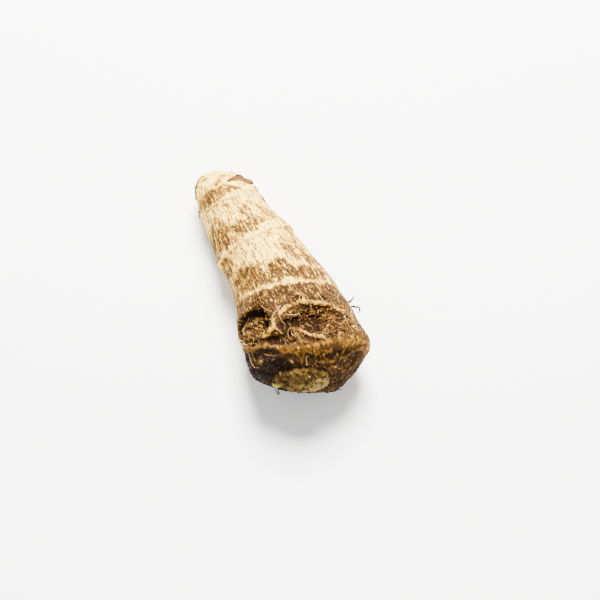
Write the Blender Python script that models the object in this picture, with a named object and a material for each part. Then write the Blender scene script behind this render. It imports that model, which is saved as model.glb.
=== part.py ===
"""A taro root, one corm grown in a single piece, lying on its underside.

Metres, +Z up.  The thick end, with the bud, is at -Y and the thin end at +Y.
The origin is under the middle of the corm, on the surface that it rests on.
Places on the skin are given by how far they lie along the corm from its thick
end, and by their turn about its length: 0 on top, positive towards +X.
"""

import math

import bmesh
import bpy
import numpy as np

# The corm is a chain of four lengths of stem, parted by three leaf scars.
CROWN_LENGTH = 0.0448
LOWER_STEM_LENGTH = 0.0282
UPPER_STEM_LENGTH = 0.0245
TIP_LENGTH = 0.0220
RIDGE_ALONG = 0.0125
PITTED_ALONG = 0.0260

# Half width and half height of the bare body at each place.
THICK_END_HALF = (0.0209, 0.0204)
RIDGE_HALF = (0.0270, 0.0230)
PITTED_HALF = (0.0245, 0.0236)
THIRD_RING_HALF = (0.0218, 0.0213)
SECOND_RING_HALF = (0.0182, 0.0180)
FIRST_RING_HALF = (0.0145, 0.0146)
THIN_END_HALF = (0.0103, 0.0110)

# Slant of the growth rings: how far a ring runs along the corm for each metre across it.
THICK_END_SLANT = -0.34
RIDGE_SLANT = -0.20
THIRD_RING_SLANT = -0.33
SECOND_RING_SLANT = 0.02
FIRST_RING_SLANT = -0.14
THIN_END_SLANT = -0.30

# Bend of the body to the side: +X is positive.
THICK_END_SHIFT = -0.0056
RIDGE_SHIFT = -0.0018
PITTED_SHIFT = -0.0014
THIRD_RING_SHIFT = 0.0023
SECOND_RING_SHIFT = 0.0006
THIN_END_SHIFT = -0.0003

# How the ends round off, and how full their curve is (2 is an ellipse).
THICK_ROUNDING = 0.0148
THICK_FULLNESS = 2.1
THIN_ROUNDING = 0.0122
THIN_FULLNESS = 2.3

# Each leaf scar is a step: the sleeve of old leaf base ends proud of the stem below it.
THIRD_RING_STEP = 0.0005
SECOND_RING_STEP = 0.0013
FIRST_RING_STEP = 0.0008
STEP_RUN = 0.0012
SLEEVE_FADE = 0.0090

# Two pits on top of the crown, where side corms broke away.
LEFT_PIT_ALONG = 0.0300
LEFT_PIT_TURN = math.radians(-47)
LEFT_PIT_LENGTH = 0.0160
LEFT_PIT_WIDTH = 0.0205
LEFT_PIT_DEPTH = 0.0044
RIGHT_PIT_ALONG = 0.0238
RIGHT_PIT_TURN = math.radians(18)
RIGHT_PIT_LENGTH = 0.0195
RIGHT_PIT_WIDTH = 0.0265
RIGHT_PIT_DEPTH = 0.0038
PIT_RIM_HEIGHT = 0.0010
PIT_RIM_SPREAD = 0.28
PIT_WALL_SHARE = 0.80

# A raised lip where the crown turns down into the end face, over the top of the corm only.
RIDGE_HEIGHT = 0.0016
RIDGE_SPREAD = 0.0024
RIDGE_HALF_TURN = math.radians(85)

# The bud: an oval swelling low on the end face.
BUD_SIDEWAYS = -0.0102
BUD_UP = 0.0300
BUD_WIDTH = 0.0240
BUD_HEIGHT = 0.0185
BUD_SWELL = 0.0030

# The small flat spot on the underside that the corm rests on.
FLAT_SPOT_DEPTH = 0.0006

# Mesh fineness
TURN_STEPS = 60
END_STEPS = 10
ROW_SPACING = 0.0026
SHARP_ANGLE = math.radians(75)

SKIN_COLOUR = (0.50, 0.36, 0.20, 1.0)
SKIN_ROUGHNESS = 0.62


def clear_scene():
    for item in list(bpy.data.objects):
        bpy.data.objects.remove(item, do_unlink=True)


def smooth_through(places, values, wanted):
    """Values read from one smooth curve through the given places."""
    places = np.array(places)
    values = np.array(values)
    slopes = np.gradient(values, places)
    span = np.clip(np.searchsorted(places, wanted, side="right") - 1, 0, len(places) - 2)
    width = places[span + 1] - places[span]
    t = np.clip((wanted - places[span]) / width, 0.0, 1.0)
    start = (1 + 2 * t) * (1 - t) ** 2 * values[span] + t * (1 - t) ** 2 * width * slopes[span]
    end = t**2 * (3 - 2 * t) * values[span + 1] + t**2 * (t - 1) * width * slopes[span + 1]
    return start + end


def ring_places():
    """Where the third, second and first rings lie, and the corm's whole length."""
    third = CROWN_LENGTH
    second = third + LOWER_STEM_LENGTH
    first = second + UPPER_STEM_LENGTH
    return third, second, first, first + TIP_LENGTH


def rounding(distance, reach, fullness):
    """Share of the full width that is reached at a distance in from an end."""
    left = np.clip(1 - distance / reach, 0.0, 1.0)
    return (1 - left**fullness) ** (1 / fullness)


def leaf_scar(along, ring, step):
    """Extra radius of the old leaf base that ends at a ring."""
    edge = np.clip((along - ring) / STEP_RUN + 1, 0.0, 1.0)
    fade = np.exp(-np.maximum(along - ring, 0.0) / SLEEVE_FADE)
    return step * edge**2 * (3 - 2 * edge) * fade


def row_places():
    """Places of the mesh rows: close at the ends and at the rings, even between."""
    third, second, first, length = ring_places()
    quarter = np.linspace(0, math.pi / 2, END_STEPS + 1)[1:]
    thick = THICK_ROUNDING * (1 - np.cos(quarter) ** (2 / THICK_FULLNESS))
    thin = length - THIN_ROUNDING * (1 - np.cos(quarter) ** (2 / THIN_FULLNESS))
    between = round((length - THICK_ROUNDING - THIN_ROUNDING) / ROW_SPACING)
    body = np.linspace(thick[-1], thin[-1], between + 1)[1:-1]
    edges = np.array([ring - STEP_RUN * part for ring in (third, second, first) for part in (0, 1)])
    clear = np.abs(body[:, None] - edges[None, :]).min(axis=1) > ROW_SPACING / 3
    return np.sort(np.concatenate([thick, body[clear], edges, thin]))


def bare_body(along, turn):
    """Points of the corm before its pits, lip and bud: one row for each place along."""
    third, second, first, length = ring_places()
    halves = (
        THICK_END_HALF,
        RIDGE_HALF,
        PITTED_HALF,
        THIRD_RING_HALF,
        SECOND_RING_HALF,
        FIRST_RING_HALF,
        THIN_END_HALF,
    )
    places = (0.0, RIDGE_ALONG, PITTED_ALONG, third, second, first, length)
    half_width = smooth_through(places, [half[0] for half in halves], along)
    half_height = smooth_through(places, [half[1] for half in halves], along)
    slant = smooth_through(
        (0.0, RIDGE_ALONG, third, second, first, length),
        (
            THICK_END_SLANT,
            RIDGE_SLANT,
            THIRD_RING_SLANT,
            SECOND_RING_SLANT,
            FIRST_RING_SLANT,
            THIN_END_SLANT,
        ),
        along,
    )
    shift = smooth_through(
        (0.0, RIDGE_ALONG, PITTED_ALONG, third, second, length),
        (
            THICK_END_SHIFT,
            RIDGE_SHIFT,
            PITTED_SHIFT,
            THIRD_RING_SHIFT,
            SECOND_RING_SHIFT,
            THIN_END_SHIFT,
        ),
        along,
    )
    middle_height = half_height - FLAT_SPOT_DEPTH
    step = leaf_scar(along, third, THIRD_RING_STEP)
    step = step + leaf_scar(along, second, SECOND_RING_STEP)
    step = step + leaf_scar(along, first, FIRST_RING_STEP)
    closing = rounding(along, THICK_ROUNDING, THICK_FULLNESS)
    closing = closing * rounding(length - along, THIN_ROUNDING, THIN_FULLNESS)
    across = ((half_width + step) * closing)[:, None] * np.sin(turn)
    above = ((half_height + step) * closing)[:, None] * np.cos(turn)
    points = np.empty((len(along), len(turn), 3))
    points[..., 0] = shift[:, None] + across
    points[..., 1] = along[:, None] + slant[:, None] * across
    points[..., 2] = middle_height[:, None] + above
    return points


def outward_directions(points):
    """Unit normals of a grid of points that closes on itself round the corm."""
    lengthwise = np.gradient(points, axis=0)
    crosswise = np.roll(points, -1, axis=1) - np.roll(points, 1, axis=1)
    normals = np.cross(crosswise, lengthwise)
    return normals / np.maximum(np.linalg.norm(normals, axis=2, keepdims=True), 1e-12)


def pit(along, turn, radius, place, angle, length, width, depth):
    """Height of a round-edged hollow with a low raised rim."""
    lengthwise = (along - place) / (length / 2)
    crosswise = (turn - angle) * radius / (width / 2)
    reach = np.hypot(lengthwise, crosswise)
    inward = np.clip((1 - reach) / PIT_WALL_SHARE, 0.0, 1.0)
    hollow = -depth * inward**2 * (3 - 2 * inward)
    rim = PIT_RIM_HEIGHT * np.exp(-(((reach - 1) / PIT_RIM_SPREAD) ** 2))
    return hollow + rim


def relief(points, along, turn):
    """How far the finished skin stands out from the bare body."""
    rows = along[:, None]
    columns = turn[None, :]
    radius = PITTED_HALF[0]
    height = pit(
        rows, columns, radius, LEFT_PIT_ALONG, LEFT_PIT_TURN,
        LEFT_PIT_LENGTH, LEFT_PIT_WIDTH, LEFT_PIT_DEPTH,
    )
    height = height + pit(
        rows, columns, radius, RIGHT_PIT_ALONG, RIGHT_PIT_TURN,
        RIGHT_PIT_LENGTH, RIGHT_PIT_WIDTH, RIGHT_PIT_DEPTH,
    )
    over_top = np.clip(1 - (columns / RIDGE_HALF_TURN) ** 4, 0.0, 1.0)
    lip = np.exp(-(((rows - RIDGE_ALONG) / RIDGE_SPREAD) ** 2))
    height = height + RIDGE_HEIGHT * over_top * lip
    sideways = (points[..., 0] - BUD_SIDEWAYS) / (BUD_WIDTH / 2)
    upward = (points[..., 2] - BUD_UP) / (BUD_HEIGHT / 2)
    swell = np.clip(1 - sideways**2 - upward**2, 0.0, 1.0)
    return height + BUD_SWELL * swell * (rows < RIDGE_ALONG)


def corm_mesh():
    """The closed skin, centred on its own box, its underside cut level where the corm rests."""
    along = row_places()
    turn = np.linspace(-math.pi, math.pi, TURN_STEPS, endpoint=False)
    points = bare_body(along, turn)
    points = points + outward_directions(points) * relief(points, along, turn)[..., None]
    tip_places = np.array([0.0, ring_places()[-1]])
    tips = bare_body(tip_places, np.zeros(1))
    tips[..., 1] += relief(tips, tip_places, np.zeros(1)) * np.array([[-1.0], [1.0]])
    everything = np.concatenate([points.reshape(-1, 3), tips.reshape(-1, 3)])
    middle = (everything.min(axis=0) + everything.max(axis=0)) / 2
    middle[2] = 0.0
    points = points - middle
    tips = tips - middle

    shell = bmesh.new()
    rings = [[shell.verts.new(point) for point in row] for row in points]
    for lower, upper in zip(rings, rings[1:]):
        for i in range(TURN_STEPS):
            j = (i + 1) % TURN_STEPS
            shell.faces.new((lower[i], upper[i], upper[j], lower[j]))
    for ring, tip in ((rings[0], tips[0, 0]), (rings[-1], tips[1, 0])):
        pole = shell.verts.new(tip)
        for i in range(TURN_STEPS):
            shell.faces.new((ring[i], ring[(i + 1) % TURN_STEPS], pole))
    cut = bmesh.ops.bisect_plane(
        shell,
        geom=shell.verts[:] + shell.edges[:] + shell.faces[:],
        plane_co=(0, 0, 0),
        plane_no=(0, 0, -1),
        clear_outer=True,
    )
    rim = [item for item in cut["geom_cut"] if isinstance(item, bmesh.types.BMEdge)]
    bmesh.ops.contextual_create(shell, geom=rim)
    bmesh.ops.recalc_face_normals(shell, faces=shell.faces[:])
    mesh = bpy.data.meshes.new("corm")
    shell.to_mesh(mesh)
    shell.free()
    return mesh


def skin_material():
    material = bpy.data.materials.new("corm_skin")
    material.use_nodes = True
    shader = material.node_tree.nodes["Principled BSDF"]
    shader.inputs["Base Color"].default_value = SKIN_COLOUR
    shader.inputs["Roughness"].default_value = SKIN_ROUGHNESS
    shader.inputs["Metallic"].default_value = 0.0
    material.diffuse_color = SKIN_COLOUR
    return material


def make_corm():
    mesh = corm_mesh()
    mesh.materials.append(skin_material())
    mesh.shade_smooth()
    mesh.set_sharp_from_angle(angle=SHARP_ANGLE)
    corm = bpy.data.objects.new("corm", mesh)
    bpy.context.collection.objects.link(corm)
    return corm


clear_scene()
make_corm()
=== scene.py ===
import itertools
import math

import bpy
import numpy as np
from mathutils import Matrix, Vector
from mathutils.bvhtree import BVHTree


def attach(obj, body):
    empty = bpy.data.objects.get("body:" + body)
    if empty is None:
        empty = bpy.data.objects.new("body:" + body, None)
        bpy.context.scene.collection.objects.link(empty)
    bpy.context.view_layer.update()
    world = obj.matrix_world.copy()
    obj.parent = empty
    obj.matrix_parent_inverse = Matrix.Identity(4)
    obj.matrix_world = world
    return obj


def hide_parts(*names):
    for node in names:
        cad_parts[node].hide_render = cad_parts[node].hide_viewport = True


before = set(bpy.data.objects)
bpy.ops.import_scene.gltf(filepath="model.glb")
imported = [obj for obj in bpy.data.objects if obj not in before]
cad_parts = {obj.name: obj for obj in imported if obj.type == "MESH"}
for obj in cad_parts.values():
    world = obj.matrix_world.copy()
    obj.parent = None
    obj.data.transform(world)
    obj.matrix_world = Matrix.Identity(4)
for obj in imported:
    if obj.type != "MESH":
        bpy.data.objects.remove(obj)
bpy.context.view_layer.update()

MM = 0.001

# The view, the light and the table. A long lens looks down on the corm from its
# thick end. One wide soft box hangs beyond the thin end, a weaker one fills in
# from the camera's side, and the table is plain white.
CAMERA_TURN = math.radians(-26.9)
CAMERA_RISE = math.radians(70.9)
CAMERA_DISTANCE = 610 * MM
CAMERA_AIM = Vector((8.7, -17.6, 18.0)) * MM
CAMERA_LENS = 80.0
CAMERA_NEAR = 0.01
SKY_STRENGTH = 1.15
TABLE_SIZE = 8.0

towards_camera = Vector(
    (
        math.sin(CAMERA_TURN) * math.cos(CAMERA_RISE),
        -math.cos(CAMERA_TURN) * math.cos(CAMERA_RISE),
        math.sin(CAMERA_RISE),
    )
)
camera = bpy.data.objects.new("camera", bpy.data.cameras.new("camera"))
camera.data.lens = CAMERA_LENS
camera.data.clip_start = CAMERA_NEAR
camera.location = CAMERA_AIM + towards_camera * CAMERA_DISTANCE
camera.rotation_euler = (-towards_camera).to_track_quat("-Z", "Y").to_euler()
bpy.context.scene.collection.objects.link(camera)
bpy.context.scene.camera = camera


def soft_box(name, direction, distance, size, power, colour):
    """A square lamp that hangs in a direction from the corm and shines at it."""
    lamp = bpy.data.objects.new(name, bpy.data.lights.new(name, "AREA"))
    lamp.data.shape = "SQUARE"
    lamp.data.size = size
    lamp.data.energy = power
    lamp.data.color = colour
    away = Vector(direction).normalized()
    lamp.location = away * distance
    lamp.rotation_euler = away.to_track_quat("Z", "Y").to_euler()
    bpy.context.scene.collection.objects.link(lamp)


soft_box(
    "key_box",
    direction=(0.30, 0.50, 0.90),
    distance=1.0,
    size=0.42,
    power=92.0,
    colour=(1.0, 0.985, 0.96),
)
soft_box(
    "fill_box",
    direction=(-0.9, -0.8, 0.9),
    distance=1.4,
    size=0.9,
    power=4.0,
    colour=(0.97, 0.985, 1.0),
)

sky = bpy.data.worlds.new("studio_sky")
sky.use_nodes = True
background = sky.node_tree.nodes["Background"]
background.inputs["Color"].default_value = (1.0, 1.0, 1.0, 1.0)
background.inputs["Strength"].default_value = SKY_STRENGTH
bpy.context.scene.world = sky

bpy.ops.mesh.primitive_plane_add(size=TABLE_SIZE)
table = bpy.context.active_object
table.name = "table"
table_white = bpy.data.materials.new("table_white")
table_white.use_nodes = True
shader = table_white.node_tree.nodes["Principled BSDF"]
shader.inputs["Base Color"].default_value = (0.97, 0.97, 0.97, 1.0)
shader.inputs["Roughness"].default_value = 0.9
shader.inputs["Specular IOR Level"].default_value = 0.1
table.data.materials.append(table_white)

# The skin of the corm: one closed surface over the whole root, grown as one piece
# with the flesh. Its form is read off the CAD solid by rays from a line inside it.
# Places are in mm from the thick end along the slanted growth rings, and turns in
# degrees from the top of the corm, positive towards +X. The rays fan out from a focus
# at each end, and the rows and columns are closest where the pits are.
BODY_LENGTH = 119.5
THICK_END_Y = -59.17
INNER_START = (-0.3, 22.6)
INNER_END = (1.2, 11.0)
SLANT_PLACES = (0.0, 12.5, 44.8, 73.0, 97.5, 119.5)
SLANTS = (-0.34, -0.20, -0.33, 0.02, -0.14, -0.30)
GIRTHS = (20.0, 24.0, 21.5, 18.0, 14.5, 11.0)
THICK_FOCUS = 16.0
PITS_END = 42.0
THIN_FOCUS = 107.0
THICK_ROWS = 86
PIT_ROWS = 78
STEM_ROWS = 138
THIN_ROWS = 34
COLUMNS = 292
TOP_SHARE = 0.30
GRAIN_RADIUS = 20.0
FORM_BLUR = (1.4, 2.6)
RELIEF_BLUR = (3.0, 3.0)
HOLLOW_DEPTH = 0.35
LOWEST = 0.02
LAST_STEP = 0.3

cad_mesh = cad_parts["corm"].data
cad_surface = BVHTree.FromPolygons(
    [vertex.co.copy() for vertex in cad_mesh.vertices],
    [tuple(face.vertices) for face in cad_mesh.polygons],
)


def inner_line(place):
    """Points of the line inside the corm that the rays start from, in mm."""
    share = place / BODY_LENGTH
    across = INNER_START[0] + (INNER_END[0] - INNER_START[0]) * share
    up = INNER_START[1] + (INNER_END[1] - INNER_START[1]) * share
    return np.stack([across, place + THICK_END_Y, up], axis=-1)


def blurred(values, down, round_about):
    """The values averaged over nearby rows and columns, round the corm without a seam."""
    for axis, spread, mode in ((0, down, "edge"), (1, round_about, "wrap")):
        reach = int(math.ceil(2.5 * spread))
        weights = np.exp(-0.5 * (np.arange(-reach, reach + 1) / spread) ** 2)
        weights /= weights.sum()
        margin = [(0, 0), (0, 0)]
        margin[axis] = (reach, reach)
        padded = np.pad(values, margin, mode=mode)
        size = values.shape[axis]
        values = sum(
            weight * np.take(padded, range(step, step + size), axis=axis)
            for step, weight in enumerate(weights)
        )
    return values


def length_along(start, direction):
    """How far the CAD surface lies along a ray, in mm."""
    return cad_surface.ray_cast(Vector(start) * MM, Vector(direction))[3] / MM


spin = np.linspace(-math.pi, math.pi, COLUMNS, endpoint=False)
angles = spin - TOP_SHARE * np.sin(spin)
lean = np.concatenate(
    [
        np.linspace(0, math.pi / 2, THICK_ROWS + 1)[1:-1],
        np.full(PIT_ROWS + STEM_ROWS, math.pi / 2),
        np.linspace(math.pi / 2, math.pi, THIN_ROWS + 1)[1:-1],
    ]
)
row_places = np.concatenate(
    [
        np.full(THICK_ROWS - 1, THICK_FOCUS),
        np.linspace(THICK_FOCUS, PITS_END, PIT_ROWS, endpoint=False),
        np.linspace(PITS_END, THIN_FOCUS, STEM_ROWS),
        np.full(THIN_ROWS - 1, THIN_FOCUS),
    ]
)
starts = inner_line(row_places)
rays = np.empty((len(lean), COLUMNS, 3))
rays[..., 0] = np.sin(lean)[:, None] * np.sin(angles)
rays[..., 1] = np.interp(row_places, SLANT_PLACES, SLANTS)[:, None] * rays[..., 0]
rays[..., 1] -= np.cos(lean)[:, None]
rays[..., 2] = np.sin(lean)[:, None] * np.cos(angles)
rays /= np.linalg.norm(rays, axis=2, keepdims=True)
lengths = [[length_along(start, ray) for ray in row] for start, row in zip(starts, rays)]
form = starts[:, None, :] + rays * blurred(np.array(lengths), *FORM_BLUR)[..., None]

along = form[..., 1] - THICK_END_Y
for _ in range(3):
    middle = inner_line(along)
    slant = np.interp(along, SLANT_PLACES, SLANTS)
    along = form[..., 1] - THICK_END_Y - slant * (form[..., 0] - middle[..., 0])
turn = np.broadcast_to(np.degrees(angles), along.shape)
across = np.radians(turn) * np.interp(along, SLANT_PLACES, GIRTHS)
grain_reach = GRAIN_RADIUS * np.sin(lean)[:, None]
grain = np.stack([grain_reach * np.sin(angles), grain_reach * np.cos(angles), along], axis=-1)


def normals_of(points):
    """Outward unit normals of the grid of points."""
    lengthwise = np.gradient(points, axis=0)
    crosswise = np.roll(points, -1, axis=1) - np.roll(points, 1, axis=1)
    facing = np.cross(crosswise, lengthwise)
    return facing / np.maximum(np.linalg.norm(facing, axis=2, keepdims=True), 1e-9)


class Roughness:
    """Smooth random heights between about -1 and 1 at any points, the same on each run."""

    TILTS = 256
    GAIN = 1.6
    OCTAVE_SHIFT = 17.3

    def __init__(self, seed):
        draw = np.random.default_rng(seed)
        self.order = draw.permutation(self.TILTS)
        tilts = draw.normal(size=(self.TILTS, 3))
        self.tilts = tilts / np.linalg.norm(tilts, axis=1, keepdims=True)

    def once(self, points):
        cell = np.floor(points).astype(int)
        inside = points - cell
        ease = inside**3 * (inside * (inside * 6 - 15) + 10)
        total = np.zeros(points.shape[:-1])
        for corner in itertools.product((0, 1), repeat=3):
            pick = np.zeros(points.shape[:-1], int)
            weight = np.ones(points.shape[:-1])
            for axis in range(3):
                pick = self.order[(pick + cell[..., axis] + corner[axis]) % self.TILTS]
                part = ease[..., axis]
                weight = weight * (part if corner[axis] else 1 - part)
            total += weight * (self.tilts[pick] * (inside - np.array(corner))).sum(axis=-1)
        return total * self.GAIN

    def at(self, points, octaves=1):
        total = 0
        for octave in range(octaves):
            finer = points * 2.0**octave + self.OCTAVE_SHIFT * octave
            total = total + self.once(finer) * 0.5**octave
        return total


def streaks(seed, width, length, octaves=1):
    """Roughness drawn out along the corm, with the size of its streaks in mm."""
    return Roughness(seed).at(grain / np.array([width, width, length]), octaves)


def lumps(seed, size, octaves=1):
    """Roughness that is the same size in all directions, in mm."""
    return Roughness(seed).at(form / size, octaves)


def sharp(rough):
    """The same roughness folded into narrow crests."""
    return 0.6 - 2.4 * np.abs(rough)


def ramp(value, start, end):
    """0 up to start, 1 from end on, and smooth between."""
    share = np.clip((value - start) / (end - start), 0.0, 1.0)
    return share * share * (3 - 2 * share)


def oval(place, angle, length, width):
    """Distance from the middle of an oval, 1 on its outline, and the bearing round it."""
    lengthwise = (along - place) / (length / 2)
    sideways = np.radians(turn - angle) * np.interp(place, SLANT_PLACES, GIRTHS) / (width / 2)
    return np.hypot(lengthwise, sideways), np.arctan2(sideways, lengthwise)


def trail(*places):
    """Distance in mm from a line drawn over the skin through places."""
    here = np.stack([along, across], axis=-1)
    corners = [(a, math.radians(t) * np.interp(a, SLANT_PLACES, GIRTHS)) for a, t in places]
    nearest = np.full(along.shape, np.inf)
    for start, end in zip(corners, corners[1:]):
        start, step = np.array(start), np.subtract(end, start)
        share = np.clip(((here - start) @ step) / (step @ step), 0.0, 1.0)
        away = np.linalg.norm(here - start - share[..., None] * step, axis=-1)
        nearest = np.minimum(nearest, away)
    return nearest


def band(distance, width):
    """1 on a line and fading out to each side of it."""
    return np.exp(-((distance / width) ** 2))


torn = 0.50 * lumps(61, 2.6, 2) + 0.45 * lumps(62, 1.0, 2)


def torn_line(width, raggedness, *places):
    """1 on a ragged line drawn over the skin through places, fading over its width."""
    return band(trail(*places) + raggedness * torn, width)


# The bare bark: long shallow swells, and fine ridges that run lengthwise.
height = 0.45 * lumps(1, 16.0) + 0.25 * streaks(2, 4.5, 22.0, 2)
bark_ridges = 0.20 * streaks(4, 1.5, 9.0, 2) + 0.12 * streaks(5, 0.8, 4.0)
height += bark_ridges

# Broad swellings of the sides and of the thick end's lower corner: middle, reach, rise.
SWELLINGS = (
    ((24.4, -36.0, 27.0), 8.5, 2.0),
    ((-21.5, -19.0, 22.3), 8.5, 1.4),
    ((4.6, -60.3, 14.2), 7.0, 1.3),
)
for centre, reach, rise in SWELLINGS:
    height = height + rise * band(np.linalg.norm(form - centre, axis=-1), reach)

# Leaf scars: each is the ragged edge of an old leaf base. Its lip stands proud of the
# stem below, and its line is the width of the pale edge. Streaks as long as ROUND_ABOUT
# change only with the turn round the corm.
RING_PLACES = (44.9, 73.0, 97.4)
RING_LIPS = (0.10, 0.24, 0.18)
RING_LINES = (0.30, 0.65, 0.50)
ROUND_ABOUT = 400.0
ring_edge = np.zeros_like(along)
ring_shadow = np.zeros_like(along)
for number, (place, lip, line) in enumerate(zip(RING_PLACES, RING_LIPS, RING_LINES)):
    edge = place + 0.7 * streaks(20 + number, 9.0, ROUND_ABOUT)
    edge = edge + 0.45 * streaks(30 + number, 1.3, ROUND_ABOUT, 2)
    past = along - edge
    proud = ramp(past, -0.35, 0.05) * np.exp(-np.maximum(past, 0.0) / 5.0)
    groove = np.exp(-np.maximum(-past, 0.0) / 0.7) * ramp(-past, -0.1, 0.3)
    frayed = np.clip(0.8 + 1.3 * streaks(26 + number, 3.0, ROUND_ABOUT, 2), 0.15, 1.8)
    height = height + lip * proud * frayed - 0.20 * groove * frayed
    bright = band(past - 0.3 * line, line) * np.clip(0.10 + frayed * 0.8, 0, 1)
    ring_edge = np.maximum(ring_edge, bright)
    ring_shadow = np.maximum(ring_shadow, band(past + 0.7, 0.5) * frayed)

# The right pit: torn rings of flesh round a crumbly middle, inside a frayed rim.
far, bearing = oval(22.2, 18, 19.0, 27.0)
far = far + 0.08 * lumps(41, 4.0, 2) + 0.05 * lumps(42, 1.6)
right_pit = ramp(far, 1.06, 0.88)
ragged = np.clip(0.75 + 0.9 * lumps(47, 1.5, 2), 0.1, 1.4)
RIGHT_RIM = ((29.8, -13), (32.2, -5), (32.8, 6), (32.7, 17), (31.3, 29), (29.5, 39), (26.6, 46))
rim_line = trail(*RIGHT_RIM)
gold_line = band(rim_line + 0.5 * torn, 0.9) * np.clip(0.7 + 0.5 * ragged, 0, 1)
right_rim = band(rim_line + torn, 0.85) * ragged
right_side = torn_line(2.4, 1.5, (23.0, 50), (19.0, 53), (14.5, 50), (12.6, 40)) * ragged
low_rim = torn_line(1.0, 1.0, (19.0, -13), (14.6, -10), (12.4, 0), (12.0, 10)) * ragged
round_pit = np.stack([7.5 * far, 2.6 * np.cos(bearing), 2.6 * np.sin(bearing)], axis=-1)
right_folds = sharp(Roughness(43).at(round_pit, 2))
crumbs = 0.12 * sharp(lumps(44, 2.0, 2)) + 0.42 * lumps(49, 0.9, 2)
right_core = ramp(oval(21.8, 11, 10.5, 12.5)[0] + 0.25 * lumps(50, 3.0, 2), 1.05, 0.55)
crescent = torn_line(0.95, 0.6, (19.6, -2), (17.5, 0), (16.0, 3), (14.9, 8), (14.3, 13))
crescent = crescent * np.clip(0.85 + 0.6 * lumps(48, 1.2, 2), 0.3, 1.2)
under_crescent = torn_line(0.7, 0.0, (17.0, -7), (14.6, -3), (13.0, 4), (12.7, 12))
under_pits = torn_line(1.3, 0.5, (18.4, -34), (17.4, -27), (16.2, -20), (16.4, -14))
height = height + 0.9 * right_rim + 0.35 * right_side + 0.5 * low_rim
core_crumbs = (1 + 0.8 * right_core) * crumbs
height = height + right_pit * (0.55 * right_folds + core_crumbs) - 0.9 * right_core
height = height + 1.1 * crescent - 0.7 * under_crescent - 1.2 * under_pits

# The left pit: a deep torn hollow with a folded floor, crossed by a strand that forks.
far = oval(29.5, -50, 16.5, 21.0)[0] + 0.08 * lumps(45, 4.0, 2) + 0.05 * lumps(46, 1.6)
left_pit = ramp(far, 1.06, 0.86)
LEFT_RIM = ((22.5, -75), (29.0, -82), (34.0, -68), (37.0, -54), (37.6, -42), (36.5, -32))
left_rim = torn_line(0.9, 1.0, *LEFT_RIM)
slanted = [(along + 0.8 * across) / 1.9, (across - 0.8 * along) / 9.0, np.zeros_like(along)]
slanted = np.stack(slanted, axis=-1)
floor_folds = sharp(Roughness(51).at(slanted, 2))
FORK = (24.2, -24)
strand = torn_line(0.75, 0.8, (29.4, -19), (26.4, -22), FORK, (22.8, -31), (21.8, -38))
strand = np.maximum(strand, torn_line(0.6, 0.8, FORK, (20.8, -21)))
strand = strand * np.clip(0.9 + 0.7 * lumps(48, 1.2, 2), 0.3, 1.2)
left_crack = torn_line(1.5, 1.0, (27.0, -76), (31.6, -69), (34.0, -57), (35.0, -44), (34.2, -33))
left_hole = torn_line(1.9, 1.0, (29.0, -37), (28.0, -31))
low_hollow = torn_line(1.6, 1.0, (20.8, -36), (19.8, -28))
side_hollow = torn_line(1.2, 1.0, (21.5, -52), (21.6, -43))
cleft = torn_line(1.9, 0.4, (24.8, -4), (25.0, -10), (24.2, -15), (22.4, -17), (19.8, -18))
height = height + 0.45 * left_rim * ragged + left_pit * (0.8 * floor_folds + 0.9 * crumbs)
height = height - 2.0 * left_crack - 2.2 * left_hole + (1.9 + 0.6 * crumbs) * strand
height = height - 1.8 * low_hollow - 1.0 * side_hollow - 2.5 * cleft

# Small craters where roots have come away, most of them above the right pit.
ROOT_SCARS = (
    (35.6, 10, 1.5),
    (34.4, 31, 1.9),
    (28.6, 47, 1.5),
    (24.6, 52, 0.9),
    (37.6, 21, 0.9),
    (39.5, -28, 0.8),
    (24.0, 96, 1.8),
    (33.0, 118, 1.5),
    (19.0, 130, 2.0),
    (29.0, 160, 1.7),
    (22.0, -118, 1.9),
    (34.0, -135, 1.5),
    (40.0, 84, 1.1),
    (52.0, 150, 1.2),
    (15.0, -160, 1.8),
)
scar_rim = np.zeros_like(along)
scar_hole = np.zeros_like(along)
for place, angle, radius in ROOT_SCARS:
    far = oval(place, angle, 2 * radius, 2.5 * radius)[0] + 0.3 * torn
    scar_rim = np.maximum(scar_rim, band(far - 1.0, 0.35))
    scar_hole = np.maximum(scar_hole, ramp(far, 0.95, 0.4))
height = height + 0.4 * scar_rim - 0.9 * scar_hole

# The ridge round the thick end: a rounded lip on the left, a sharp fold on the right.
# Below it the end face is creased towards the middle.
RIDGE_TURNS = (-75, -60, -48, -33, -20, 0, 18, 54, 66, 90)
RIDGE_LINE = (22.5, 20.6, 19.6, 16.4, 12.6, 11.2, 11.0, 11.2, 11.4, 10.5)
ridge_line = np.interp(turn, RIDGE_TURNS, RIDGE_LINE) + 0.35 * streaks(52, 2.5, ROUND_ABOUT, 2)
over_top = ramp(turn, -80, -66) * ramp(turn + 12 * lumps(66, 5.0, 2), 112, 70)
left_lip = ramp(turn, -26, -38)
past = along - ridge_line
lip = band(past, 1.6) * left_lip * over_top
fold = band(past, 0.75) * (1 - left_lip) * over_top
under_ridge = band(past + 3.4, 2.4) * over_top
end_face = ramp(past, -0.8, -3.5)
creases = 0.30 * streaks(53, 3.2, 60.0, 2) + 0.35 * lumps(57, 3.0, 3)
creases = creases + 0.30 * sharp(lumps(60, 2.2, 2))
lip = lip * np.clip(0.8 + 0.7 * lumps(63, 1.8, 2), 0.2, 1.3)
fold = fold * np.clip(0.85 + 0.6 * lumps(64, 2.4, 2), 0.3, 1.2)
height = height + 1.3 * lip + 0.75 * fold - 0.8 * under_ridge + end_face * creases
crumbly = ramp(along, 21.5, 18.0) * ramp(past, -0.4, 1.2) * over_top
height += 0.8 * crumbs * crumbly
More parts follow.
